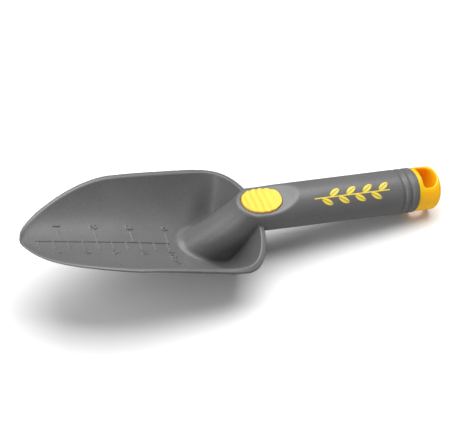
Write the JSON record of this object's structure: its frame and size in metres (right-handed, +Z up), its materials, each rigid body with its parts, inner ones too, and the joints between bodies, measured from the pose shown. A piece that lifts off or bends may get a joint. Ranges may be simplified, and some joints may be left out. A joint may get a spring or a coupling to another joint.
{
  "type": "hand transplanter",
  "caption": "Narrow moulded garden trowel with a depth-marked scoop, round hollow handle, ribbed thumb pad and an end cap with a hanging slot.",
  "frame": {"origin": "centre of the tool's footprint box, on the table that it lies on", "axes": "+X along the tool from the scoop's tip to the cap, +Y across, +Z up from the table; the scoop opens upwards and its tip is raised, because the tool lies on the scoop's heel and the cap's lower edge"},
  "size_m": [0.285, 0.087, 0.0558],
  "materials": {
    "grey_moulding": "finely grained satin, glass-filled",
    "pad_rubber": "soft matt, ribbed",
    "cap_plastic": "smooth semi-gloss"
  },
  "bodies": {
    "root": {"scoop_and_handle": "grey_moulding", "thumb_pad": "pad_rubber", "end_cap": "cap_plastic"}
  },
  "joints": []
}
